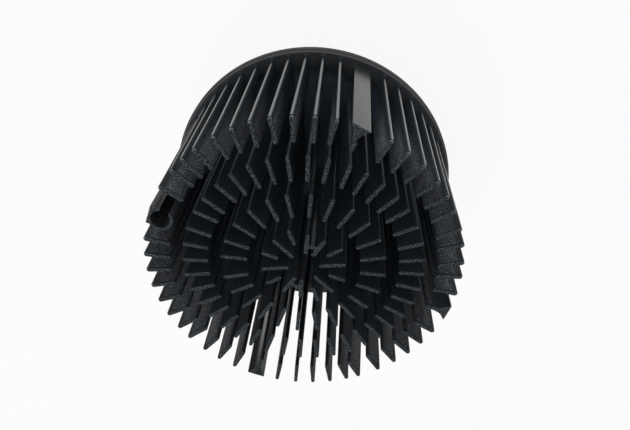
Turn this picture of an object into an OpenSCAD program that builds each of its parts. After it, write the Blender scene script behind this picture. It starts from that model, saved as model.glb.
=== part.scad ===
// Round finned heat sink for an LED lamp: a base disc with four rings of plate fins, one piece of metal.
// Millimetres, +Z up. Origin at the centre of the flat face that takes the lamp; the fins stand up from it.

/* [Base disc] */
// Diameter of the base disc
base_d = 140; // [130:1:160]
// Thickness of the base disc under the fins
base_t = 6; // [4:0.5:10]
// Height from the flat face to the fin tips
total_h = 80; // [50:1:100]
// Bevel on the rim, at the fin side
rim_bevel = 1.2; // [0.4:0.1:1.6]
// Bevel on the rim, at the flat face
face_bevel = 0.8; // [0.4:0.1:1.6]

/* [Fin rings] */
// Thickness of every plate fin
fin_t = 1.6; // [1.2:0.1:2]
// Width of bare rim outside the fin tips
rim_margin = 3.6; // [3.3:0.1:6]
// Clear gap between one ring of fins and the next
ring_gap = 5; // [4:0.1:6.5]
// How far the outer edges lean in from root to tip
outer_lean = 0.8; // [0.2:0.1:1.4]
// Rounding of the outer tip corners
tip_round = 1; // [0.5:0.1:2]
// Flare of the outer edges into the base disc
root_r = 1.5; // [0.5:0.1:2]
// Plain fins in each quarter of the outer ring
outer_quarter = 11; // [7:1:12]
// Angle from a pad, or the back of the cable channel, to the plain fin beside it
outer_clear = 9.5; // [9:0.5:12]
// Angle from the cable channel to the plain fin facing its mouth
mouth_clear = 12; // [11:0.5:14]
// Fins in the second ring
second_count = 40; // [24:4:44]
// Fins in the third ring
third_count = 24; // [16:4:28]

/* [Core fins] */
// Radius to the outer ends of the short core fins
core_r = 18.5; // [17.5:0.1:20]
// Radial length of the short core fins
core_short = 7.4; // [5:0.1:8.5]
// Radial length of the long core fins
core_long = 11.3; // [9:0.1:12]
// Step in of the long core fins behind the short ones
core_step = 0.8; // [0:0.1:1.5]

/* [Screw ports] */
// Pilot hole of a screw port, for a thread-forming M3 screw
port_d = 2.5; // [2:0.1:2.8]
// Distance between the two screw ports
port_span = 17; // [16.5:0.1:19]
// Mouth of a screw port, towards the axis
port_mouth = 1.5; // [0.8:0.1:1.6]
// How far the fins beside a screw port run past its hole, towards the axis
port_nose = 0.7; // [0.4:0.1:1]
// Angle from a screw port to the fin on either side of it
port_angle = 14; // [13:0.5:16]
// Radius to the outer ends of the fins that carry the ports
port_fin_r = 15.8; // [14:0.1:16.5]

/* [Side pads] */
// Width of the flat face of a pad
pad_w = 7.8; // [6:0.1:9]
// Thickness left at the edges of a pad
pad_edge = 0.6; // [0.4:0.1:1.5]
// Radius of the hollow flare from a pad to its fin
flare_r = 7.7; // [5:0.1:9]
// Step in of the pad faces behind the fin tips
pad_inset = 0.4; // [0:0.1:1]

/* [Cable channel] */
// Bore of the cable channel
channel_d = 7.8; // [6:0.1:8.4]
// Wall of the cable channel
channel_wall = 1.3; // [1:0.1:1.6]
// Wall left outside the bore at the end of the outer arm
channel_lip = 0.6; // [0.4:0.1:1.2]
// Reach of the flat outer face behind the middle of the bore
channel_heel = 3.6; // [2.5:0.1:4.5]
// Width of the mouth that a cable is pressed through
channel_mouth = 3.8; // [2:0.1:4.4]
// Shift of the mouth from the bore's middle, towards the axis
channel_shift = 0.7; // [0:0.1:1]

/* [Hidden] */
base_r = base_d / 2;
tip_r = base_r - rim_margin;
ring_pitch = (tip_r - core_r) / 3;
ring_len = ring_pitch - ring_gap;
second_r = tip_r - ring_pitch;
third_r = second_r - ring_pitch;
// Angle between plain fins in each quarter; the mouth of the cable channel faces the second quarter
outer_step = [for (end = [outer_clear, mouth_clear, outer_clear, outer_clear])
    (90 - outer_clear - end) / (outer_quarter - 1)];
core_angle = (180 - 2 * port_angle) / 6;
pad_r = tip_r - pad_inset;
// Radial depth of the flare, from the pad's edge to where it meets the side of the fin
flare_depth = sqrt(pow(flare_r, 2) - pow(flare_r - (pad_w - fin_t) / 2, 2));
flare_root = pad_r - pad_edge - flare_depth;
port_r = port_d / 2 + fin_t;
port_in = port_span / 2 - port_d / 2 - port_nose;
channel_r = channel_d / 2 + channel_wall;
channel_at = pad_r - channel_r;
channel_end = channel_d / 2 + channel_lip;
// Flare of the outer edges, held inside the rim's bevel
root_flare = min(root_r, rim_margin - rim_bevel - outer_lean);
// Depth to which the fins run into the disc they grow from
bite = 1;
fin_z = base_t - bite;
fin_h = total_h - fin_z;

// Plan of a plate fin along +X, rounded at both ends
module plate(r_in, r_out) {
    round_r = fin_t / 2;
    translate([r_in + round_r, -round_r]) square([r_out - r_in - fin_t, fin_t]);
    for (x = [r_in + round_r, r_out - round_r]) translate([x, 0]) circle(r = round_r, $fn = 16);
}

// Plan of a fin of the outer ring, rounded at its inner end and running out past the envelope
module outer_plate(r_end) {
    round_r = fin_t / 2;
    r_in = tip_r - ring_len;
    translate([r_in + round_r, -round_r]) square([r_end - r_in - round_r, fin_t]);
    translate([r_in + round_r, 0]) circle(r = round_r, $fn = 16);
}

// Plan of a flat side pad on a fin, with a hollow flare on each side
module pad_plan() {
    outer_plate(pad_r);
    difference() {
        translate([flare_root, -pad_w / 2]) square([pad_r - flare_root, pad_w]);
        for (s = [-1, 1]) translate([flare_root, s * (fin_t / 2 + flare_r)]) circle(r = flare_r, $fn = 72);
    }
}

// Plan of the cable channel: a C with a flat outer face, open along the ring on its -Y side
module channel_plan() {
    difference() {
        union() {
            translate([channel_at, 0]) circle(r = channel_r, $fn = 48);
            translate([channel_at, -channel_end]) square([channel_r, channel_end + channel_heel]);
        }
        translate([channel_at, 0]) circle(d = channel_d, $fn = 48);
        translate([channel_at - channel_shift - channel_mouth / 2, -2 * channel_r])
            square([channel_mouth, 2 * channel_r]);
    }
}

// Plan of a screw port between its two fins on +X, open towards the axis
module port_plan() {
    difference() {
        union() {
            for (s = [-1, 1]) rotate(s * port_angle) plate(port_in, port_fin_r);
            intersection() {
                translate([port_span / 2, 0]) circle(r = port_r, $fn = 32);
                translate([port_in, -port_r]) square(2 * port_r + port_nose);
            }
        }
        translate([port_span / 2, 0]) circle(d = port_d, $fn = 24);
        translate([0, -port_mouth / 2]) square([port_span / 2, port_mouth]);
    }
}

// Outer ring: plain fins between three pads and the cable channel
module outer_plan() {
    for (q = [0:3], k = [0:outer_quarter - 1])
        rotate(90 * q + outer_clear + outer_step[q] * k) outer_plate(base_r);
    for (a = [-90, 0, 90]) rotate(a) pad_plan();
    rotate(180) channel_plan();
}

// Core: a screw port at either end of the Y axis, long and short fins in turn between them
module core_plan() {
    for (side = [0, 180]) rotate(90 + side) {
        port_plan();
        for (k = [1, 3, 5]) rotate(port_angle + core_angle * k) plate(core_r - core_short, core_r);
        for (k = [2, 4]) rotate(port_angle + core_angle * k)
            plate(core_r - core_step - core_long, core_r - core_step);
    }
}

// Plans of the three inner rings
module inner_plan() {
    for (k = [0:second_count - 1]) rotate(360 / second_count * k) plate(second_r - ring_len, second_r);
    for (k = [0:third_count - 1]) rotate(360 / third_count * k) plate(third_r - ring_len, third_r);
    core_plan();
}

// Round body inside which the outer ring lies: flared at the root, leaning in to a rounded tip corner
module outer_envelope() {
    root_at = tip_r + outer_lean;
    rotate_extrude($fn = 180) {
        polygon([
            [0, fin_z], [root_at, fin_z], [root_at, base_t], [tip_r, total_h - tip_round],
            [tip_r - tip_round, total_h], [0, total_h]
        ]);
        translate([tip_r - tip_round, total_h - tip_round]) circle(r = tip_round, $fn = 24);
        difference() {
            translate([tip_r, fin_z]) square([outer_lean + root_flare, bite + root_flare]);
            translate([root_at + root_flare, base_t + root_flare]) circle(r = root_flare, $fn = 24);
        }
    }
}

// Base disc with a bevel round each edge of its rim
module base_disc() {
    rotate_extrude($fn = 180)
        polygon([
            [0, 0], [base_r - face_bevel, 0], [base_r, face_bevel], [base_r, base_t - rim_bevel],
            [base_r - rim_bevel, base_t], [0, base_t]
        ]);
}

module heat_sink() {
    color([0.07, 0.07, 0.075]) union() {
        base_disc();
        translate([0, 0, fin_z]) linear_extrude(fin_h) inner_plan();
        intersection() {
            translate([0, 0, fin_z]) linear_extrude(fin_h) outer_plan();
            outer_envelope();
        }
    }
}

heat_sink();
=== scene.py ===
"""Looks of a round forged heat sink with four rings of fins, lying on its flat face on a pale floor."""

from __future__ import annotations

import logging
import math
from dataclasses import dataclass
from enum import Enum
from functools import cached_property
from typing import Any, Callable, Mapping, Optional, Union

import bmesh
import bpy
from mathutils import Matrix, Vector


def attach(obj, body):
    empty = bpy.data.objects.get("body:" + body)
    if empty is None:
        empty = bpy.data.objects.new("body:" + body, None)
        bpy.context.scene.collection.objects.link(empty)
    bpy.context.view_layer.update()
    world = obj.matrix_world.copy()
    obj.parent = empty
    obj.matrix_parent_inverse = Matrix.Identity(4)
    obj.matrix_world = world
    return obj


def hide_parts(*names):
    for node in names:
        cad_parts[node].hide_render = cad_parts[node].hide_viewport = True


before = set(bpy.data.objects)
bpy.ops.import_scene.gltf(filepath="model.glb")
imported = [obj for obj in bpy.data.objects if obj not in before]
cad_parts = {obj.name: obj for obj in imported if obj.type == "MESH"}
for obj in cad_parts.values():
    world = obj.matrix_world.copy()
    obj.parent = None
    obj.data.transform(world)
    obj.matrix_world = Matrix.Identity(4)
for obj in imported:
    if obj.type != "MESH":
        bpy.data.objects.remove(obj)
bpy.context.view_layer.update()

LOG = logging.getLogger("heat_sink")
MM = 0.001
PHOTO_WIDTH = 630
PHOTO_HEIGHT = 430

Triple = tuple[float, float, float]
Colour = Triple
Band = tuple[float, float]
Number = Union["Amount", float, int]

# Average of a cloudy pattern
MEAN = 0.5

BLACK: Colour = (0.0, 0.0, 0.0)
WHITE: Colour = (1.0, 1.0, 1.0)


class Amount:
    """A number on its way through a shader; Python's operators add Math nodes to its graph."""

    def __init__(self, graph: "Graph", socket: bpy.types.NodeSocket) -> None:
        """Wraps a number socket.

        Args:
            graph: The shader graph that the socket belongs to.
            socket: The output socket that gives the number.
        """
        self.graph = graph
        self.socket = socket

    def _math(self, operation: str, first: Number, second: Number) -> "Amount":
        """Adds one Math node.

        Args:
            operation: The Math node's operation.
            first: The upper value.
            second: The lower value.

        Returns:
            The node's result.
        """
        node = self.graph.node("ShaderNodeMath", {"operation": operation}, {0: first, 1: second})
        return Amount(self.graph, node.outputs[0])

    def __add__(self, other: Number) -> "Amount":
        """This amount plus another."""
        return self._math("ADD", self, other)

    def __radd__(self, other: Number) -> "Amount":
        """Another amount plus this one."""
        return self._math("ADD", other, self)

    def __sub__(self, other: Number) -> "Amount":
        """This amount less another."""
        return self._math("SUBTRACT", self, other)

    def __rsub__(self, other: Number) -> "Amount":
        """Another amount less this one."""
        return self._math("SUBTRACT", other, self)

    def __mul__(self, other: Number) -> "Amount":
        """This amount times another."""
        return self._math("MULTIPLY", self, other)

    def __rmul__(self, other: Number) -> "Amount":
        """Another amount times this one."""
        return self._math("MULTIPLY", other, self)

    def __truediv__(self, other: Number) -> "Amount":
        """This amount divided by another."""
        return self._math("DIVIDE", self, other)

    def __rtruediv__(self, other: Number) -> "Amount":
        """Another amount divided by this one."""
        return self._math("DIVIDE", other, self)

    def size(self) -> "Amount":
        """This amount without its sign."""
        return self._math("ABSOLUTE", self, 0.0)

    def root(self) -> "Amount":
        """The square root of this amount."""
        return self._math("SQRT", self, 0.0)

    def highest(self, other: Number) -> "Amount":
        """The larger of this amount and another."""
        return self._math("MAXIMUM", self, other)

    def ramp(self, band: Band) -> "Amount":
        """Eases this amount from 0 at one end of a band to 1 at the other.

        Args:
            band: Where the result is 0 and where it is 1; the first may be the larger of the two.

        Returns:
            The eased amount, held between 0 and 1.
        """
        flip = band[0] > band[1]
        node = self.graph.node(
            "ShaderNodeMapRange",
            {"interpolation_type": "SMOOTHSTEP", "clamp": True},
            {
                "Value": self,
                "From Min": min(band),
                "From Max": max(band),
                "To Min": 1.0 if flip else 0.0,
                "To Max": 0.0 if flip else 1.0,
            },
        )
        return Amount(self.graph, node.outputs["Result"])


@dataclass(frozen=True)
class Pattern:
    """A cloudy pattern: cells to the metre, their squeeze along Z, finer levels and how strong these are."""

    cells: float
    squeeze: float = 1.0
    levels: float = 2.0
    strength: float = 0.5


class Graph:
    """The node graph of one material or of the world."""

    def __init__(self, tree: bpy.types.NodeTree) -> None:
        """Empties a node tree and takes it over.

        Args:
            tree: The node tree to fill.
        """
        self.tree = tree
        tree.nodes.clear()

    def node(
        self,
        kind: str,
        settings: Optional[Mapping[str, Any]] = None,
        inputs: Optional[Mapping[Union[str, int], Any]] = None,
    ) -> bpy.types.Node:
        """Adds one node.

        Args:
            kind: The node's type.
            settings: Its settings, set before its sockets.
            inputs: A value, an amount or a socket for each named or numbered input.

        Returns:
            The new node.
        """
        node = self.tree.nodes.new(kind)
        for key, value in (settings or {}).items():
            setattr(node, key, value)
        for key, value in (inputs or {}).items():
            socket = node.inputs[key]
            if isinstance(value, Amount):
                self.tree.links.new(value.socket, socket)
            elif isinstance(value, bpy.types.NodeSocket):
                self.tree.links.new(value, socket)
            else:
                socket.default_value = value
        return node

    def parts(self, vector: bpy.types.NodeSocket) -> tuple[Amount, Amount, Amount]:
        """Splits a vector into its three numbers.

        Args:
            vector: The vector socket.

        Returns:
            Its X, Y and Z.
        """
        node = self.node("ShaderNodeSeparateXYZ", None, {0: vector})
        return Amount(self, node.outputs[0]), Amount(self, node.outputs[1]), Amount(self, node.outputs[2])

    def scaled(self, vector: bpy.types.NodeSocket, scale: Triple) -> bpy.types.NodeSocket:
        """Scales a vector along its axes.

        Args:
            vector: The vector socket.
            scale: The factor along each axis.

        Returns:
            The scaled vector.
        """
        node = self.node("ShaderNodeVectorMath", {"operation": "MULTIPLY"}, {0: vector, 1: scale})
        return node.outputs[0]

    def noise(self, vector: bpy.types.NodeSocket, pattern: Pattern) -> Amount:
        """Adds a cloudy pattern.

        Args:
            vector: Where the pattern is read, in metres.
            pattern: The pattern's size and grain.

        Returns:
            The pattern, about 0.5 on average.
        """
        inputs = {
            "Vector": self.scaled(vector, (1.0, 1.0, pattern.squeeze)),
            "Scale": pattern.cells,
            "Detail": pattern.levels,
            "Roughness": pattern.strength,
        }
        return Amount(self, self.node("ShaderNodeTexNoise", None, inputs).outputs[0])

    def blend(self, share: Amount, below: Any, above: Any) -> bpy.types.NodeSocket:
        """Mixes two colours.

        Args:
            share: How much of the second colour shows.
            below: The first colour or a colour socket.
            above: The second colour or a colour socket.

        Returns:
            The mixed colour.
        """
        # A Mix node's sockets for numbers and vectors come before those for colours
        sockets = {
            0: share,
            6: below if isinstance(below, bpy.types.NodeSocket) else (*below, 1.0),
            7: above if isinstance(above, bpy.types.NodeSocket) else (*above, 1.0),
        }
        node = self.node("ShaderNodeMix", {"data_type": "RGBA", "blend_type": "MIX"}, sockets)
        return node.outputs[2]


@dataclass(frozen=True)
class Zones:
    """Where on the forging each look of its finish shows, from 0 to 1.

    Attributes:
        crown: Level faces at the height of the tips.
        tips: The same, with little of it on the plain pad.
        tip_highlight: Edges of the tips, where a highlight is painted.
        sides: Upright faces.
        outer: The outer ring.
        painted_lit: The upper part of the fins, where light is painted, fading at the brink beside their
            noses and tips.
        upper: All but the foot of the fins, rising to the tips.
        depth: The lower part of the fins.
        painted_shade: The outer part of the outer ring, where shade is painted.
        noses: Faces that look straight out from the axis or straight at it; shade is painted on them too.
        depth: The lower part of the fins, where painted fill light lifts the shade.
        posts: Pads and cable channel, but for their tips.
        pads: The outer faces of these.
        foot: The disc and the roots of the fins.
        margin: The outer part of the disc, where light is painted.
        bevel: The disc's bevel and rim, where a highlight is painted.
        rim: The disc's rim.
    """

    crown: Amount
    tips: Amount
    tip_highlight: Amount
    sides: Amount
    outer: Amount
    painted_lit: Amount
    upper: Amount
    depth: Amount
    painted_shade: Amount
    noses: Amount
    posts: Amount
    pads: Amount
    foot: Amount
    margin: Amount
    bevel: Amount
    rim: Amount


@dataclass(frozen=True)
class Grains:
    """The patterns of the finish.

    Attributes:
        grit: Fine grit of the sides, about 0.5 on average.
        broad: Broad upright clouds, about 0.5 on average.
        grain: Grain of the relief, about 0.5 on average.
        cloud: Clouds of dust, about 0.5 on average.
        flecks: Flecks on the tips, from 0 to 1.
    """

    grit: Amount
    broad: Amount
    grain: Amount
    cloud: Amount
    flecks: Amount


@dataclass(frozen=True)
class AnodisedFinish:
    """Black anodised forged aluminium: sides with grit and painted light, sawn and speckled tips, a duller
    turned rim.

    Lengths are in millimetres. A band says where a zone begins and where it is full.
    """

    base_r: float
    base_t: float
    total_h: float
    slot: str = "black_anodised"

    # Plain sides near the tips, near the disc with painted fill light, and with painted shade towards the
    # noses
    black: Colour = (0.0200, 0.0254, 0.0312)
    deep: Colour = (0.042, 0.054, 0.067)
    edge: Colour = (0.0085, 0.0108, 0.0128)

    # Painted light on the upper sides of the outer ring: a dark ground, dust clouds, and painted glints on
    # the grit
    shell: Colour = (0.0091, 0.0101, 0.0116)
    dust_and_painted_light: Colour = (0.0143, 0.0156, 0.0175)
    painted_glint: Colour = (0.143, 0.154, 0.168)

    # Pads and cable channel, in their hollows and on their outer faces
    hollow: Colour = (0.0155, 0.0185, 0.0215)
    pad: Colour = (0.0120, 0.0155, 0.0130)

    # Sawn tips, with their flecks and a painted highlight along their edges
    tip: Colour = (0.0088, 0.0106, 0.0122)
    fleck: Colour = (0.122, 0.136, 0.147)
    tip_highlight: Colour = (0.165, 0.180, 0.192)

    # Outer part of the disc with painted light, a painted highlight on its bevel, and its rim
    margin: Colour = (0.0365, 0.0400, 0.0445)
    bevel: Colour = (0.062, 0.063, 0.062)
    rim: Colour = (0.016, 0.0165, 0.0148)

    # Upward part of the normal on level faces, on upright sides and on the tips' painted highlight, which
    # ends where it is flat
    level_up: Band = (0.55, 0.8)
    sides_up: Band = (0.5, 0.2)
    tip_highlight_up: Band = (0.2, 0.4)
    tip_highlight_flat: Band = (0.97, 0.85)

    # Outward part of the normal on noses and pads, and Y part of it on the cable channel's outer arm
    nose_out: Band = (0.78, 0.94)
    pad_out: Band = (0.6, 0.85)
    arm_out: Band = (0.8, 0.95)

    # Depth below the tips
    crown_drop: Band = (0.9, 0.5)
    tip_highlight_drop: Band = (0.3, 0.15)
    brink_drop: Band = (1.6, 0.8)

    # Height above the disc
    disc_rise: Band = (0.5, 0.1)
    foot_rise: Band = (3.5, 0.5)

    # Part of the whole height
    upper_part: Band = (0.15, 1.0)
    painted_lit_part: Band = (0.38, 0.93)
    depth_part: Band = (0.97, 0.3)

    # Distance in from the rim
    rim_inset: Band = (0.5, 0.2)
    bevel_inset: Band = (1.0, 0.6)
    margin_inset: Band = (11.0, 3.5)

    # Radius of the outer ring, its posts, its sides with painted shade, and the brink by its noses, where the
    # painted light fades with its grit
    outer_r: Band = (54.0, 58.0)
    post_r: Band = (57.0, 60.0)
    painted_shade_r: Band = (57.0, 63.0)
    brink_r: Band = (62.2, 65.3)
    brink_shade: float = 0.85

    # Half width of a pad or the cable channel, and the place of the channel's outer arm
    post_half: Band = (6.5, 6.0)
    arm_x: Band = (-60.5, -61.5)
    arm_y: Band = (4.1, 4.35)

    # Place of the pad whose tip is plain
    plain_y: Band = (-57.5, -58.5)
    plain_half: Band = (6.0, 5.5)
    plain_share: float = 0.7

    # Patterns, and the part of each where its second colour shows
    grit: Pattern = Pattern(2000.0, squeeze=1.35, strength=0.6)
    broad: Pattern = Pattern(160.0, squeeze=0.25, levels=3.0, strength=0.55)
    grain: Pattern = Pattern(1100.0, strength=0.6)
    speck: Pattern = Pattern(1900.0, strength=0.7)
    cloud: Pattern = Pattern(60.0)
    painted_glint_part: Band = (0.41, 0.64)
    dust_part: Band = (0.45, 0.7)
    fleck_part: Band = (0.485, 0.6)
    bevel_highlight_part: Band = (0.1, 0.6)

    # Roughness, and what the patterns and the tips add to it
    roughness: float = 0.5
    broad_rough: float = 0.22
    grit_rough: float = 0.18
    tip_rough: float = 0.12

    # Depth of the relief, and the share of each pattern in it
    relief: float = 0.12
    grit_relief: float = 0.7
    broad_relief: float = 0.3
    grain_relief: float = 0.3
    upper_relief: float = 1.2
    tip_relief: float = 2.0

    # Gloss of the clear layer: its most and least, its share on pads, posts and inner fins, and what dulls it
    coat: float = 0.95
    coat_roughness: float = 0.24
    coat_ior: float = 1.8
    least_gloss: float = 0.025
    pad_gloss: float = 0.5
    post_gloss: float = 0.8
    inner_gloss: float = 0.6
    foot_dull: float = 0.95
    tip_dull: float = 0.8
    pad_dull: float = 0.4
    fleck_dull: float = 0.15

    # Gloss of the metal below it
    ior: float = 1.48
    specular: float = 0.06

    def material(self) -> bpy.types.Material:
        """Builds the finish.

        Returns:
            The new material.
        """
        finish = bpy.data.materials.new(self.slot)
        finish.use_nodes = True
        graph = Graph(finish.node_tree)
        where = graph.node("ShaderNodeTexCoord")
        zones = self._zones(graph, where.outputs["Object"], where.outputs["Normal"])
        grains = self._grains(graph, where.outputs["Object"])
        relief = self._relief(zones, grains)
        bump = graph.node(
            "ShaderNodeBump", None, {"Strength": 1.0, "Distance": self.relief * MM, "Height": relief}
        )
        shader = graph.node(
            "ShaderNodeBsdfPrincipled",
            None,
            {
                "Base Color": self._colour(graph, zones, grains),
                "Roughness": self._rough(zones, grains),
                "IOR": self.ior,
                "Specular IOR Level": self.specular,
                "Coat Weight": self._gloss(zones, grains),
                "Coat Roughness": self.coat_roughness,
                "Coat IOR": self.coat_ior,
                "Normal": bump.outputs[0],
            },
        )
        graph.node("ShaderNodeOutputMaterial", None, {"Surface": shader.outputs[0]})
        return finish

    def _zones(self, graph: Graph, place: bpy.types.NodeSocket, normal: bpy.types.NodeSocket) -> Zones:
        """Works out where each look shows.

        Args:
            graph: The material's graph.
            place: The place on the piece, in metres.
            normal: The normal there.

        Returns:
            The zones.
        """
        x, y, z = graph.parts(graph.scaled(place, (1 / MM, 1 / MM, 1 / MM)))
        east, north, up = graph.parts(normal)
        radius = (x * x + y * y).root()
        # One square millimetre more keeps the axis from dividing by zero
        outward = (east * x + north * y) / (radius * radius + 1.0).root()
        drop = self.total_h - z
        rise = z - self.base_t
        height = z / self.total_h
        inset = self.base_r - radius

        crown = drop.ramp(self.crown_drop) * up.ramp(self.level_up)
        plain = y.ramp(self.plain_y) * x.size().ramp(self.plain_half)
        tips = crown * (1.0 - plain * self.plain_share)
        beside = x.size().ramp(self.post_half).highest(y.size().ramp(self.post_half))
        posts = beside * radius.ramp(self.post_r) * (1.0 - tips)
        arm = x.ramp(self.arm_x) * y.ramp(self.arm_y) * north.ramp(self.arm_out)
        # The brink beside the noses and under the tips, where the painted light on the sides fades
        brink = radius.ramp(self.brink_r).highest(drop.ramp(self.brink_drop))
        disc = rise.ramp(self.disc_rise)
        return Zones(
            crown=crown,
            tips=tips,
            tip_highlight=drop.ramp(self.tip_highlight_drop) * up.ramp(self.tip_highlight_up) * up.ramp(self.tip_highlight_flat),
            sides=up.size().ramp(self.sides_up),
            outer=radius.ramp(self.outer_r),
            painted_lit=height.ramp(self.painted_lit_part) * (1.0 - brink * self.brink_shade),
            upper=height.ramp(self.upper_part),
            depth=height.ramp(self.depth_part),
            painted_shade=radius.ramp(self.painted_shade_r),
            noses=outward.size().ramp(self.nose_out),
            posts=posts,
            pads=posts * outward.ramp(self.pad_out).highest(arm),
            foot=rise.ramp(self.foot_rise),
            margin=inset.ramp(self.margin_inset) * disc,
            bevel=inset.ramp(self.bevel_inset) * disc,
            rim=inset.ramp(self.rim_inset) * disc,
        )

    def _grains(self, graph: Graph, place: bpy.types.NodeSocket) -> Grains:
        """Adds the patterns.

        Args:
            graph: The material's graph.
            place: The place on the piece, in metres.

        Returns:
            The patterns.
        """
        return Grains(
            grit=graph.noise(place, self.grit),
            broad=graph.noise(place, self.broad),
            grain=graph.noise(place, self.grain),
            cloud=graph.noise(place, self.cloud),
            flecks=graph.noise(place, self.speck).ramp(self.fleck_part),
        )

    def _colour(self, graph: Graph, zones: Zones, grains: Grains) -> bpy.types.NodeSocket:
        """Lays the colours over each other, from the sides to the rim.

        Args:
            graph: The material's graph.
            zones: Where each look shows.
            grains: The patterns.

        Returns:
            The colour.
        """
        # Plain sides, lighter towards the disc as painted fill light against the shade there
        plain = graph.blend(zones.depth, self.black, self.deep)
        # Painted shade on the noses and the outer part of the outer ring
        plain = graph.blend(zones.painted_shade.highest(zones.noses), plain, self.edge)
        # Painted light on the upper sides of the outer ring, with dust clouds and painted glints on the grit
        gritty_painted_light = graph.blend(grains.cloud.ramp(self.dust_part), self.shell, self.dust_and_painted_light)
        gritty_painted_light = graph.blend(grains.grit.ramp(self.painted_glint_part), gritty_painted_light, self.painted_glint)
        sawn = graph.blend(grains.flecks, self.tip, self.fleck)
        colour = graph.blend(zones.sides * zones.outer * zones.painted_lit, plain, gritty_painted_light)
        colour = graph.blend(zones.posts, colour, self.hollow)
        colour = graph.blend(zones.pads, colour, self.pad)
        colour = graph.blend(zones.tips, colour, sawn)
        # Painted highlight along the edges of the tips
        colour = graph.blend(zones.tip_highlight, colour, self.tip_highlight)
        # Painted light on the outer part of the disc
        colour = graph.blend(zones.margin, colour, self.margin)
        # Painted highlight on the disc's bevel, broken up by a cloudy pattern
        colour = graph.blend(zones.bevel * grains.broad.ramp(self.bevel_highlight_part), colour, self.bevel)
        return graph.blend(zones.rim, colour, self.rim)

    def _rough(self, zones: Zones, grains: Grains) -> Amount:
        """Works out the roughness.

        Args:
            zones: Where each look shows.
            grains: The patterns.

        Returns:
            The roughness.
        """
        rough = self.roughness + (grains.broad - MEAN) * self.broad_rough
        rough = rough + (grains.grit - MEAN) * self.grit_rough
        return rough + zones.tips * self.tip_rough

    def _relief(self, zones: Zones, grains: Grains) -> Amount:
        """Works out the height of the fine relief, which is strongest on the tips.

        Args:
            zones: Where each look shows.
            grains: The patterns.

        Returns:
            The height, as a share of the relief's depth.
        """
        grainy = zones.tips * self.tip_relief + zones.upper * self.upper_relief + self.grain_relief
        height = zones.sides * (grains.grit - MEAN) * self.grit_relief
        return height + grainy * (grains.grain - MEAN) + (grains.broad - MEAN) * self.broad_relief

    def _gloss(self, zones: Zones, grains: Grains) -> Amount:
        """Works out the weight of the clear layer, which is glossiest on the noses.

        Args:
            zones: Where each look shows.
            grains: The patterns.

        Returns:
            The weight.
        """
        dull = (1.0 - zones.foot * self.foot_dull) * (1.0 - zones.tips * self.tip_dull) * (1.0 - zones.rim)
        dull = dull * (1.0 - zones.pads * self.pad_dull)
        dull = dull * (1.0 - grains.flecks * zones.pads * self.fleck_dull)
        gloss = zones.noses.highest(zones.pads * self.pad_gloss)
        gloss = gloss.highest(zones.posts * (1.0 - zones.crown) * self.post_gloss).highest(self.least_gloss)
        ring = zones.outer * (1.0 - self.inner_gloss) + self.inner_gloss
        return dull * gloss * ring * self.coat


@dataclass(frozen=True)
class FloorFinish:
    """Plain white studio floor that reads white to the camera and keeps soft shadows. Lengths in metres.

    In gloss it glows white as painted light in a ring round the object's foot, with painted contact shadow at
    the foot itself, and dusk beyond it.
    """

    name: str = "studio_floor"
    colour: Colour = (0.86, 0.86, 0.855)
    paler: Colour = (0.88, 0.88, 0.88)
    cloud: Pattern = Pattern(3.0)
    glow: float = 0.9
    full_glow: Band = (0.35, 0.9)
    dusk: float = 0.15
    # Painted contact shadow at the foot, and where the painted glow seen in gloss ends
    painted_contact_shadow: Band = (0.058, 0.07)
    painted_glow_end: Band = (0.17, 0.11)

    def material(self) -> bpy.types.Material:
        """Builds the finish.

        Returns:
            The new material.
        """
        finish = bpy.data.materials.new(self.name)
        finish.use_nodes = True
        graph = Graph(finish.node_tree)
        place = graph.node("ShaderNodeTexCoord").outputs["Object"]
        colour = graph.blend(graph.noise(place, self.cloud), self.colour, self.paler)
        matt = graph.node("ShaderNodeBsdfDiffuse", None, {"Color": colour})
        rays = graph.node("ShaderNodeLightPath").outputs
        camera = Amount(graph, rays["Is Camera Ray"])
        mirrored = Amount(graph, rays["Is Glossy Ray"]).highest(Amount(graph, rays["Is Transmission Ray"]))
        x, y, _ = graph.parts(place)
        away = (x * x + y * y).root()
        # Painted light seen in gloss: a white ring round the object's foot, with painted contact shadow at
        # the foot itself
        painted_glow = away.ramp(self.painted_glow_end) * away.ramp(self.painted_contact_shadow)
        shown = (painted_glow * (1.0 - self.dusk) + self.dusk).highest(camera)
        white = graph.node("ShaderNodeEmission", None, {"Color": graph.blend(shown, BLACK, WHITE)})
        far = away.ramp(self.full_glow) * (1.0 - self.glow) + self.glow
        seen = (camera * far).highest(mirrored)
        mixed = graph.node("ShaderNodeMixShader", None, {0: seen, 1: matt.outputs[0], 2: white.outputs[0]})
        graph.node("ShaderNodeOutputMaterial", None, {"Surface": mixed.outputs[0]})
        return finish


class Selected(Enum):
    """What is selected in edit mode."""

    VERTICES = "VERT"
    EDGES = "EDGE"
    FACES = "FACE"


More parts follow.
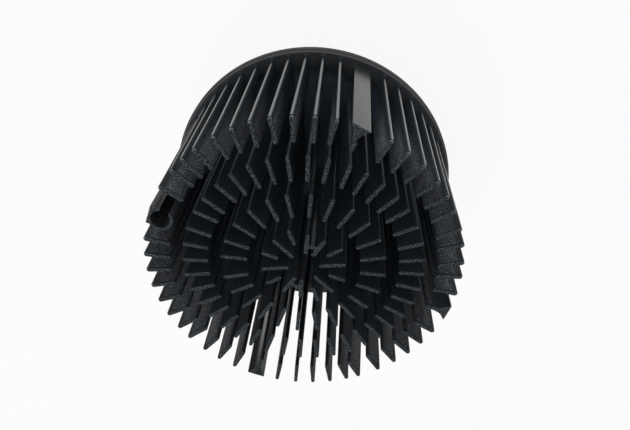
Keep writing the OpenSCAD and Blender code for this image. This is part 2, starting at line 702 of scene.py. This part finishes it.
class EditMode:
    """Edit mode on one piece, with nothing else selected."""

    def __init__(self, piece: bpy.types.Object, kind: Selected) -> None:
        """Notes the piece.

        Args:
            piece: The mesh object to edit.
            kind: What is selected.
        """
        self.piece = piece
        self.kind = kind

    def __enter__(self) -> "EditMode":
        """Opens edit mode with nothing selected.

        Returns:
            This edit mode.
        """
        select_only(self.piece)
        bpy.ops.object.mode_set(mode="EDIT")
        bpy.ops.mesh.select_mode(type=self.kind.value)
        bpy.ops.mesh.select_all(action="DESELECT")
        return self

    def __exit__(self, *_: object) -> None:
        """Goes back to object mode."""
        bpy.ops.object.mode_set(mode="OBJECT")

    def pick(self, test: Callable[[Any], bool]) -> int:
        """Selects what passes a test, and nothing else.

        Args:
            test: Takes a vertex, edge or face of the mesh, whichever is selected here.

        Returns:
            How many were selected.
        """
        bpy.ops.mesh.select_all(action="DESELECT")
        made = bmesh.from_edit_mesh(self.piece.data)
        made.normal_update()
        lists = {Selected.VERTICES: made.verts, Selected.EDGES: made.edges, Selected.FACES: made.faces}
        count = 0
        for element in lists[self.kind]:
            if test(element):
                element.select_set(True)
                count += 1
        made.select_flush_mode()
        bmesh.update_edit_mesh(self.piece.data)
        return count

    def move(self, rule: Callable[[Vector], Vector]) -> int:
        """Moves each vertex to where a rule puts it.

        Args:
            rule: Takes a place and gives the new one.

        Returns:
            How many moved.
        """
        made = bmesh.from_edit_mesh(self.piece.data)
        count = 0
        for vertex in made.verts:
            spot = rule(vertex.co)
            if spot != vertex.co:
                vertex.co = spot
                count += 1
        bmesh.update_edit_mesh(self.piece.data)
        return count


def select_only(piece: bpy.types.Object) -> None:
    """Selects one object, makes it the active one and deselects the rest.

    Args:
        piece: The object.
    """
    bpy.ops.object.select_all(action="DESELECT")
    piece.select_set(True)
    bpy.context.view_layer.objects.active = piece


def directions(angle: float) -> tuple[Vector, Vector]:
    """Gives the directions that a fin is measured in.

    Args:
        angle: The fin's place round the axis, in degrees.

    Returns:
        The direction out from the axis, and the one along the ring, anticlockwise from above.
    """
    turn = math.radians(angle)
    out = Vector((math.cos(turn), math.sin(turn), 0.0))
    return out, Vector((-out.y, out.x, 0.0))


class Ring(Enum):
    """The three rings of plain fins, each with the radii in millimetres between which its fins lie."""

    OUTER = (54.0, 70.0)
    SECOND = (37.0, 52.0)
    THIRD = (21.0, 36.0)


@dataclass(frozen=True)
class Lean:
    """A fin or pad that stands a little off its place at the tip, as on the real forging.

    Its place and its twist are in degrees. How far its outer and inner ends are off, along the ring, and half
    the width that moves with it are in millimetres.
    """

    ring: Ring
    angle: float
    outer: float
    inner: float
    half_width: float = 1.1
    twist: float = 0.0


@dataclass
class HeatSinkForging:
    """The one-piece forging: base disc, fin rings, side pads, cable channel and screw ports.

    Lengths are in millimetres and angles in degrees.
    """

    node: str = "heat_sink"
    name: str = "heat_sink_forging"

    # Sizes of the solid
    base_r: float = 70.0
    base_t: float = 6.0
    total_h: float = 80.0
    fin_t: float = 1.6
    tip_r: float = 66.4
    tip_round: float = 1.0
    outer_lean: float = 0.8
    root_flare: float = 1.5
    pad_r: float = 66.0
    quarter_fins: int = 11
    pad_clear: float = 9.5
    mouth_clear: float = 12.0

    # Clearing the solid's mesh: how near points are merged, and how flat a seam is that goes
    weld: float = 0.02
    flat_seam: float = 0.4
    nose_seam: float = 3.0

    # Half-round noses: how far their sides are drawn back, where they are cut, and slack in finding them
    nose_depth: float = 0.7
    nose_cuts: tuple[float, ...] = (-0.5, -0.3, 0.3, 0.5)
    nose_start: float = 0.2
    nose_slack: float = 0.05
    root_slack: float = 0.01

    # Softened edges: their width and steps, which are sharp, what is cleared after it, what is shaded smooth
    edge_soft: float = 0.16
    edge_steps: int = 2
    sharp_turn: float = 38.0
    soft_rise: float = 3.0
    round_slack: float = 0.1
    round_edge: float = 1.0
    soft_weld: float = 0.004
    soft_sliver: float = 0.002
    smooth_turn: float = 35.0

    # Bent fins: depth of the tip that moves, and radius from which a pad twists
    tip_depth: float = 2.5
    twist_start: float = 60.0
    leans: tuple[Lean, ...] = (
        Lean(Ring.OUTER, 90.0, 1.4, 1.4, 4.6, -7.7),
        Lean(Ring.OUTER, 0.0, 1.1, 0.9, 4.6),
        Lean(Ring.OUTER, 315.0, -2.5, -3.4),
        Lean(Ring.OUTER, 307.9, -0.2, -1.1),
        Lean(Ring.OUTER, 16.6, 1.3, 0.8),
        Lean(Ring.OUTER, 37.9, 0.1, -1.1),
        Lean(Ring.OUTER, 161.2, -1.3, -1.3),
        Lean(Ring.OUTER, 147.4, 1.2, 0.9),
        Lean(Ring.OUTER, 239.2, -1.2, -0.4),
        Lean(Ring.OUTER, 189.5, 0.8, 1.1),
        Lean(Ring.OUTER, 59.2, -0.8, -0.7),
        Lean(Ring.OUTER, 45.0, 0.9, 0.0),
        Lean(Ring.OUTER, 30.8, 0.7, 0.1),
        Lean(Ring.OUTER, 23.7, 0.2, -0.9),
        Lean(Ring.OUTER, 9.5, 0.6, 0.75),
        Lean(Ring.OUTER, 322.1, -0.6, -1.0),
        Lean(Ring.OUTER, 279.5, -0.7, -0.5),
        Lean(Ring.OUTER, 196.6, 0.35, 0.8),
        Lean(Ring.OUTER, 133.8, 0.1, 0.8),
        Lean(Ring.OUTER, 126.9, 0.5, 0.9),
        Lean(Ring.OUTER, 120.0, 0.8, 0.4),
        Lean(Ring.OUTER, 113.2, 0.65, 0.5),
        Lean(Ring.OUTER, 99.5, -0.1, 0.7),
        Lean(Ring.SECOND, 171.0, -0.7, -1.2),
        Lean(Ring.SECOND, 153.0, -0.4, -0.9),
        Lean(Ring.SECOND, 54.0, 0.7, 0.55),
        Lean(Ring.SECOND, 36.0, -0.55, -0.7),
        Lean(Ring.SECOND, 27.0, -0.6, -0.6),
        Lean(Ring.SECOND, 90.0, -0.6, -0.7),
        Lean(Ring.THIRD, 195.0, -1.0, -0.9),
        Lean(Ring.THIRD, 345.0, -0.8, -0.5),
        Lean(Ring.THIRD, 210.0, 0.7, 0.5),
        Lean(Ring.THIRD, 120.0, 0.7, 0.3),
    )

    def build(self) -> bpy.types.Object:
        """Copies the solid, closes it, softens its edges, rounds its noses and bends its fins.

        Returns:
            The finished piece.
        """
        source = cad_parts[self.node]
        piece = bpy.data.objects.new(self.name, source.data.copy())
        bpy.context.scene.collection.objects.link(piece)
        piece.data.name = self.name
        self._close(piece)
        self._cut_noses(piece)
        self._soften(piece)
        self._round_noses(piece)
        for lean in self.leans:
            self._lean(piece, lean)
        select_only(piece)
        bpy.ops.object.shade_smooth_by_angle(angle=math.radians(self.smooth_turn))
        return piece

    def _close(self, piece: bpy.types.Object) -> None:
        """Merges the loose triangles, and joins those that lie flat beside each other.

        Args:
            piece: The piece to close.
        """
        with EditMode(piece, Selected.VERTICES):
            bpy.ops.mesh.select_all(action="SELECT")
            bpy.ops.mesh.remove_doubles(threshold=self.weld * MM)
            bpy.ops.mesh.customdata_custom_splitnormals_clear()
            bpy.ops.mesh.select_all(action="SELECT")
            bpy.ops.mesh.dissolve_limited(angle_limit=math.radians(self.flat_seam))

    @cached_property
    def _fin_angles(self) -> list[float]:
        """Works out the places of the plain fins of the outer ring.

        Returns:
            Their angles round the axis, in degrees.
        """
        start = self.pad_clear
        ends = (start, self.mouth_clear, start, start)
        steps = [(90 - start - end) / (self.quarter_fins - 1) for end in ends]
        return [90 * q + start + step * k for q, step in enumerate(steps) for k in range(self.quarter_fins)]

    def _across(self, spot: Vector) -> float:
        """How far a place on an outer nose is from the middle of its fin.

        Args:
            spot: The place, with the fins still upright.

        Returns:
            The distance in millimetres, with its sign along the ring, or infinity off the noses.
        """
        radius = math.hypot(spot.x, spot.y) / MM
        inner = self.tip_r - self.tip_round - self.nose_start
        outer = self.tip_r + self.outer_lean + self.root_flare + self.nose_slack
        if not inner < radius < outer or spot.z < (self.base_t - self.root_slack) * MM:
            return math.inf
        turn = math.degrees(math.atan2(spot.y, spot.x)) % 360
        near = min(self._fin_angles, key=lambda angle: abs(angle - turn))
        across = radius * math.sin(math.radians(turn - near))
        return across if abs(across) < self.fin_t / 2 + self.nose_slack else math.inf

    def _on_nose(self, face: bmesh.types.BMFace, out: Vector, along: Vector) -> bool:
        """Whether a face is on the nose of one fin of the outer ring.

        Args:
            face: The face, with the fins still upright.
            out: The direction of the fin, out from the axis.
            along: The direction along the ring there.

        Returns:
            True if it is.
        """
        middle = face.calc_center_median()
        if middle.dot(out) < 0.0 or abs(middle.dot(along)) > self.fin_t * MM:
            return False
        return self._across(middle) < math.inf

    def _cut_noses(self, piece: bpy.types.Object) -> None:
        """Clears the seams on the noses of the plain outer fins and cuts them into upright strips.

        Args:
            piece: The piece, with its fins still upright.
        """
        with EditMode(piece, Selected.FACES) as edit:
            count = edit.pick(lambda face: self._across(face.calc_center_median()) < math.inf)
            bpy.ops.mesh.dissolve_limited(angle_limit=math.radians(self.nose_seam))
            LOG.info("cleared %d faces on the outer noses", count)
            for angle in self._fin_angles:
                out, along = directions(angle)
                for cut in self.nose_cuts:
                    edit.pick(lambda face: self._on_nose(face, out, along))
                    bpy.ops.mesh.bisect(plane_co=along * (cut * MM), plane_no=along)

    def _drawn_back(self, spot: Vector) -> Vector:
        """Where a place goes when the noses are made about half round.

        The rounding fades out in the flare at their root.

        Args:
            spot: The place, with the fins still upright.

        Returns:
            The new place, which is the same off the noses.
        """
        across = abs(self._across(spot))
        if across == math.inf:
            return spot
        rise = min(max((spot.z / MM - self.base_t) / self.root_flare, 0.0), 1.0)
        aside = min(across / (self.fin_t / 2), 1.0)
        back = self.nose_depth * (1 - math.sqrt(1 - aside**2)) * rise
        shrink = 1 - back / self.tip_r
        return Vector((spot.x * shrink, spot.y * shrink, spot.z))

    def _round_noses(self, piece: bpy.types.Object) -> None:
        """Draws the sides of the noses back.

        Args:
            piece: The piece, with its fins still upright.
        """
        with EditMode(piece, Selected.VERTICES) as edit:
            LOG.info("drew back %d vertices of the noses", edit.move(self._drawn_back))

    def _pick_tip(self, edit: EditMode, lean: Lean, start: float, end: float) -> int:
        """Selects a part of one fin's tip.

        Args:
            edit: Edit mode on the piece.
            lean: Which fin it is.
            start: The radius where the part starts, in millimetres.
            end: The radius where it ends.

        Returns:
            How many vertices were selected.
        """
        out, along = directions(lean.angle)
        top = (self.total_h - self.tip_depth) * MM

        def on_tip(vertex: bmesh.types.BMVert) -> bool:
            """Whether a vertex is on that part of the tip."""
            beside = abs(vertex.co.dot(along)) > lean.half_width * MM
            return vertex.co.z >= top and not beside and start * MM < vertex.co.dot(out) <= end * MM

        return edit.pick(on_tip)

    def _lean(self, piece: bpy.types.Object, lean: Lean) -> None:
        """Moves one fin's tip along its ring.

        Args:
            piece: The piece.
            lean: Which fin leans, and how far at its two ends.
        """
        low, high = lean.ring.value
        middle = (low + high) / 2
        out, along = directions(lean.angle)
        with EditMode(piece, Selected.VERTICES) as edit:
            if lean.twist:
                self._pick_tip(edit, lean, self.twist_start, high)
                bpy.ops.transform.rotate(
                    value=math.radians(-lean.twist), orient_axis="Z", center_override=out * (self.pad_r * MM)
                )
            outer_end = self._pick_tip(edit, lean, middle, high)
            bpy.ops.transform.translate(value=along * (lean.outer * MM))
            inner_end = self._pick_tip(edit, lean, low, middle)
            bpy.ops.transform.translate(value=along * (lean.inner * MM))
        if not outer_end or not inner_end:
            LOG.warning("no fin stands at %.1f degrees in ring %s", lean.angle, lean.ring.name)

    def _on_small_round(self, spot: Vector) -> bool:
        """Whether a place is on the round at the tip of a pad or the cable channel.

        Args:
            spot: The place, with the fins still upright.

        Returns:
            True if it is.
        """
        start = self.tip_r - self.tip_round - self.round_slack
        if math.hypot(spot.x, spot.y) / MM <= start or spot.z <= (self.total_h - self.tip_round) * MM:
            return False
        return self._across(spot) == math.inf

    def _is_sharp(self, edge: bmesh.types.BMEdge) -> bool:
        """Whether an edge is a sharp outer one, away from the disc's own bevels.

        Args:
            edge: The edge, with the fins still upright.

        Returns:
            True if it is.
        """
        turn = math.radians(self.sharp_turn)
        if len(edge.link_faces) != 2 or edge.calc_face_angle_signed(0.0) < turn:
            return False
        if max(v.co.z for v in edge.verts) < (self.base_t + self.soft_rise) * MM:
            return False
        rounds = [self._on_small_round(v.co) for v in edge.verts]
        return not all(rounds) and (edge.calc_length() > self.round_edge * MM or not any(rounds))

    def _soften(self, piece: bpy.types.Object) -> None:
        """Softens the sharp outer edges, and clears the slivers that this leaves.

        Args:
            piece: The piece, with its fins still upright.
        """
        with EditMode(piece, Selected.EDGES) as edit:
            count = edit.pick(self._is_sharp)
            bpy.ops.mesh.bevel(
                offset=self.edge_soft * MM, segments=self.edge_steps, profile=0.5, clamp_overlap=False
            )
            bpy.ops.mesh.select_all(action="SELECT")
            bpy.ops.mesh.remove_doubles(threshold=self.soft_weld * MM)
            bpy.ops.mesh.dissolve_degenerate(threshold=self.soft_sliver * MM)
            LOG.info("softened %d sharp edges", count)

    def dress(self, piece: bpy.types.Object, finish: AnodisedFinish) -> None:
        """Gives the piece its finish and its place on the frame.

        Args:
            piece: The piece.
            finish: Its finish.
        """
        piece.data.materials.clear()
        piece.data.materials.append(finish.material())
        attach(piece, "root")
        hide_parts(self.node)


@dataclass(frozen=True)
class Softbox:
    """A flat studio lamp, wide and deep in metres, of a power in watts, that may or may not show in gloss."""

    name: str
    place: Triple
    aim: Triple
    wide: float
    deep: float
    power: float
    gloss: bool = True

    def build(self) -> bpy.types.Object:
        """Adds the lamp.

        Returns:
            The lamp.
        """
        data = bpy.data.lights.new(self.name, "AREA")
        data.shape = "RECTANGLE"
        data.size = self.wide
        data.size_y = self.deep
        data.energy = self.power
        lamp = bpy.data.objects.new(self.name, data)
        bpy.context.scene.collection.objects.link(lamp)
        lamp.location = self.place
        lamp.rotation_euler = (Vector(self.aim) - Vector(self.place)).to_track_quat("-Z", "Y").to_euler()
        lamp.visible_camera = False
        lamp.visible_glossy = self.gloss
        return lamp


@dataclass
class Studio:
    """The pale floor, the lamps and the room's light. Metres, watts and degrees."""

    floor_size: float = 6.0
    floor_drop: float = 0.05 * MM
    zenith: float = 0.28
    horizon: float = 0.3
    sky_part: Band = (0.05, 0.7)
    key: Softbox = Softbox("softbox_key", (-0.13, -0.65, 1.15), (0.0, 0.0, 0.04), 0.8, 0.6, 7.0)
    fill: Softbox = Softbox("softbox_fill", (-0.17, 0.66, 1.16), (0.0, 0.0, 0.05), 0.35, 0.35, 3.0, False)

    # Strips round the object, each with its place and its power
    strips: tuple[tuple[float, float], ...] = (
        (60.0, 4.3),
        (125.0, 5.6),
        (205.0, 3.7),
        (270.0, 0.8),
        (335.0, 3.8),
    )
    strip_away: float = 0.9
    strip_height: float = 0.042
    strip_wide: float = 0.6
    strip_deep: float = 0.07

    def lamps(self) -> list[Softbox]:
        """Lays out the lamps.

        Returns:
            The key light, the fill light and a ring of low strips below the level of the tips.
        """
        ring = []
        for index, (angle, power) in enumerate(self.strips):
            turn = math.radians(angle)
            place = (self.strip_away * math.cos(turn), self.strip_away * math.sin(turn), self.strip_height)
            aim = (0.0, 0.0, self.strip_height)
            name = f"strip_{index + 1}"
            ring.append(Softbox(name, place, aim, self.strip_wide, self.strip_deep, power, False))
        return [self.key, self.fill, *ring]

    def _lay_floor(self) -> None:
        """Lays the floor."""
        bpy.ops.object.select_all(action="DESELECT")
        bpy.ops.mesh.primitive_plane_add(size=self.floor_size, location=(0.0, 0.0, -self.floor_drop))
        floor = bpy.context.object
        floor.name = "studio_floor"
        bpy.ops.object.transform_apply(location=True, rotation=True, scale=True)
        floor.data.materials.append(FloorFinish().material())

    def _light_room(self) -> None:
        """Gives the room a soft light of its own, and a white that only the camera sees."""
        world = bpy.data.worlds.new("studio_room")
        world.use_nodes = True
        graph = Graph(world.node_tree)
        seen = Amount(graph, graph.node("ShaderNodeLightPath").outputs["Is Camera Ray"])
        _, _, height = graph.parts(graph.node("ShaderNodeTexCoord").outputs["Generated"])
        light = height.ramp(self.sky_part) * (self.zenith - self.horizon) + self.horizon
        strength = light * (1.0 - seen) + seen
        sky = graph.node("ShaderNodeBackground", None, {"Color": (*WHITE, 1.0), "Strength": strength})
        graph.node("ShaderNodeOutputWorld", None, {"Surface": sky.outputs[0]})
        bpy.context.scene.world = world

    def build(self) -> None:
        """Lays the floor, adds the lamps and lights the room."""
        self._lay_floor()
        for lamp in self.lamps():
            lamp.build()
        self._light_room()
        bpy.context.scene.view_settings.view_transform = "Standard"


@dataclass(frozen=True)
class PhotoCamera:
    """The camera at the photograph's viewing angle. Lengths in metres, turns in degrees, focus in pixels."""

    name: str = "photo_camera"
    place: Triple = (-0.036208, 0.140218, 0.287067)
    turn: Triple = (-31.3204, 1.3738, 21.4000)
    focus: float = 607.285
    centre: tuple[float, float] = (333.748, 231.154)
    sensor_mm: float = 36.0
    nearest: float = 0.01
    farthest: float = 50.0

    def build(self) -> bpy.types.Object:
        """Adds the camera and makes it the scene's own.

        Returns:
            The camera.
        """
        data = bpy.data.cameras.new(self.name)
        data.sensor_fit = "HORIZONTAL"
        data.sensor_width = self.sensor_mm
        data.lens = self.focus / PHOTO_WIDTH * self.sensor_mm
        data.shift_x = (PHOTO_WIDTH / 2 - self.centre[0]) / PHOTO_WIDTH
        data.shift_y = (self.centre[1] - PHOTO_HEIGHT / 2) / PHOTO_WIDTH
        data.clip_start = self.nearest
        data.clip_end = self.farthest
        camera = bpy.data.objects.new(self.name, data)
        bpy.context.scene.collection.objects.link(camera)
        camera.location = self.place
        camera.rotation_euler = tuple(math.radians(a) for a in self.turn)
        bpy.context.scene.camera = camera
        return camera


def main() -> None:
    """Builds the camera, the piece and the studio, and logs the piece's faces."""
    logging.basicConfig(level=logging.INFO, format="%(name)s: %(message)s")
    PhotoCamera().build()
    forging = HeatSinkForging()
    piece = forging.build()
    forging.dress(piece, AnodisedFinish(forging.base_r, forging.base_t, forging.total_h))
    LOG.info("%s: %d faces", piece.name, len(piece.data.polygons))
    Studio().build()


if __name__ == "__main__":
    main()
